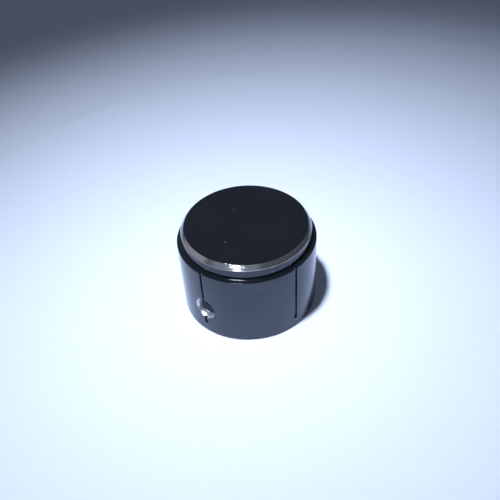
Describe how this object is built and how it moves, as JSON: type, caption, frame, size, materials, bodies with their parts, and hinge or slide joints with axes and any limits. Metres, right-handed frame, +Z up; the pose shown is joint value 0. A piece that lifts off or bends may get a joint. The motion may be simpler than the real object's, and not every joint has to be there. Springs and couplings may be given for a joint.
{
  "type": "control knob",
  "caption": "Round black control knob with a bright-cut rim, a stepped cap and a grooved straight side, held on a shaft by a grub screw in its side.",
  "frame": {"origin": "centre of the underside, on the axis of the shaft bore", "axes": "+Z up along the bore's axis towards the top face; the grub screw's axis lies along -Y; +X completes the right-handed set"},
  "size_m": [0.025, 0.025, 0.017],
  "materials": {
    "anodised_body": "black anodised, semi-gloss, with a bare bright-cut rim and bare metal in the screw's hole",
    "screw_steel": "black oxide, oiled"
  },
  "bodies": {
    "root": {"knob_body": "anodised_body", "grub_screw": "screw_steel"}
  },
  "joints": []
}
